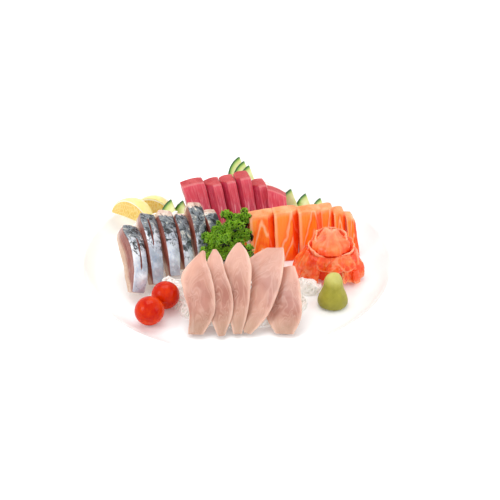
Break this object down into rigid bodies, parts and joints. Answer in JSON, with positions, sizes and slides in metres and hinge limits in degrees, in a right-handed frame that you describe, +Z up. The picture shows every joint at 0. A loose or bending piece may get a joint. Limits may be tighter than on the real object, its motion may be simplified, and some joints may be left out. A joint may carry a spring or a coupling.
{
  "type": "sashimi plate",
  "caption": "Round white plate with raw fish slices standing on shredded daikon, with cucumber, lemon, parsley, pickled ginger, wasabi and cherry tomatoes.",
  "frame": {"origin": "centre of the plate's foot, on the surface that the plate stands on", "axes": "+Z up, square to the plate; -Y towards the guest, the side that the picture was taken from; +X to the guest's right"},
  "size_m": [0.2992, 0.2992, 0.0613],
  "materials": {
    "glazed_porcelain": "gloss",
    "tuna_flesh": "satin",
    "salmon_flesh": "satin",
    "mackerel_skin_and_flesh": "satin",
    "white_fish_flesh": "satin",
    "cucumber": "satin",
    "lemon": "satin",
    "tomato_skin": "gloss",
    "wasabi_paste": "matte",
    "pickled_ginger": "satin",
    "parsley_leaf": "matte",
    "daikon_shreds": "satin"
  },
  "bodies": {
    "root": {"cucumber_left_1": "cucumber", "cucumber_left_2": "cucumber", "cucumber_right_1": "cucumber", "cucumber_right_2": "cucumber", "cucumber_right_3": "cucumber", "cucumber_top_1": "cucumber", "cucumber_top_2": "cucumber", "cucumber_top_3": "cucumber", "daikon_heap_left": "daikon_shreds", "daikon_heap_right": "daikon_shreds", "daikon_mackerel": "daikon_shreds", "daikon_salmon": "daikon_shreds", "daikon_tuna": "daikon_shreds", "daikon_white_fish": "daikon_shreds", "ginger_bud": "pickled_ginger", "ginger_collar": "pickled_ginger", "ginger_curl": "pickled_ginger", "ginger_heart": "pickled_ginger", "ginger_roll": "pickled_ginger", "ginger_skirt_front": "pickled_ginger", "ginger_skirt_left": "pickled_ginger", "ginger_skirt_right": "pickled_ginger", "lemon_wedge_1": "lemon", "lemon_wedge_2": "lemon", "mackerel_slice_1": "mackerel_skin_and_flesh", "mackerel_slice_2": "mackerel_skin_and_flesh", "mackerel_slice_3": "mackerel_skin_and_flesh", "mackerel_slice_4": "mackerel_skin_and_flesh", "mackerel_slice_5": "mackerel_skin_and_flesh", "mackerel_slice_6": "mackerel_skin_and_flesh", "parsley": "parsley_leaf", "plate": "glazed_porcelain", "salmon_slice_1": "salmon_flesh", "salmon_slice_2": "salmon_flesh", "salmon_slice_3": "salmon_flesh", "salmon_slice_4": "salmon_flesh", "salmon_slice_5": "salmon_flesh", "salmon_slice_6": "salmon_flesh", "salmon_slice_7": "salmon_flesh", "tomato_1": "tomato_skin", "tomato_2": "tomato_skin", "tuna_slice_1": "tuna_flesh", "tuna_slice_2": "tuna_flesh", "tuna_slice_3": "tuna_flesh", "tuna_slice_4": "tuna_flesh", "tuna_slice_5": "tuna_flesh", "tuna_slice_6": "tuna_flesh", "wasabi": "wasabi_paste", "white_fish_slice_1": "white_fish_flesh", "white_fish_slice_2": "white_fish_flesh", "white_fish_slice_3": "white_fish_flesh", "white_fish_slice_4": "white_fish_flesh", "white_fish_slice_5": "white_fish_flesh"}
  },
  "joints": []
}
